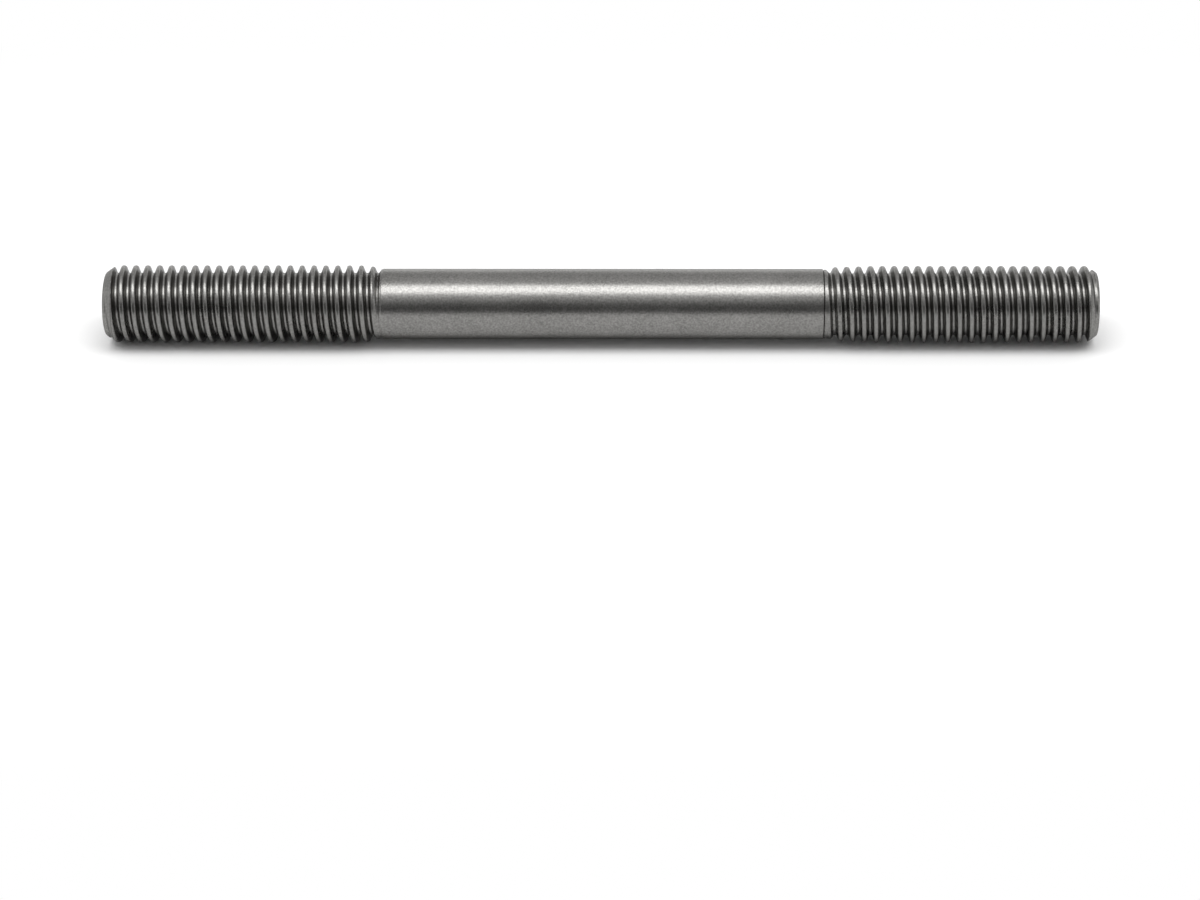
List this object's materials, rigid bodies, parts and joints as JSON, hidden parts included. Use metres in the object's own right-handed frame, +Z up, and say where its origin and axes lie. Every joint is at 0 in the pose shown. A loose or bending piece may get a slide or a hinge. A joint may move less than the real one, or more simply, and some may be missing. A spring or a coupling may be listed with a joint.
{
  "type": "double ended stud",
  "caption": "Steel stud bolt with a coarse right-hand thread rolled on both ends, a plain reduced shank between and chamfered points.",
  "frame": {"origin": "on the stud's axis, half way along its length", "axes": "+X along the axis towards the end with the longer run-out, +Z up as the stud lies"},
  "size_m": [0.125, 0.01, 0.01],
  "materials": {
    "steel": "plain dark grey"
  },
  "bodies": {
    "root": {"stud": "steel"}
  },
  "joints": []
}
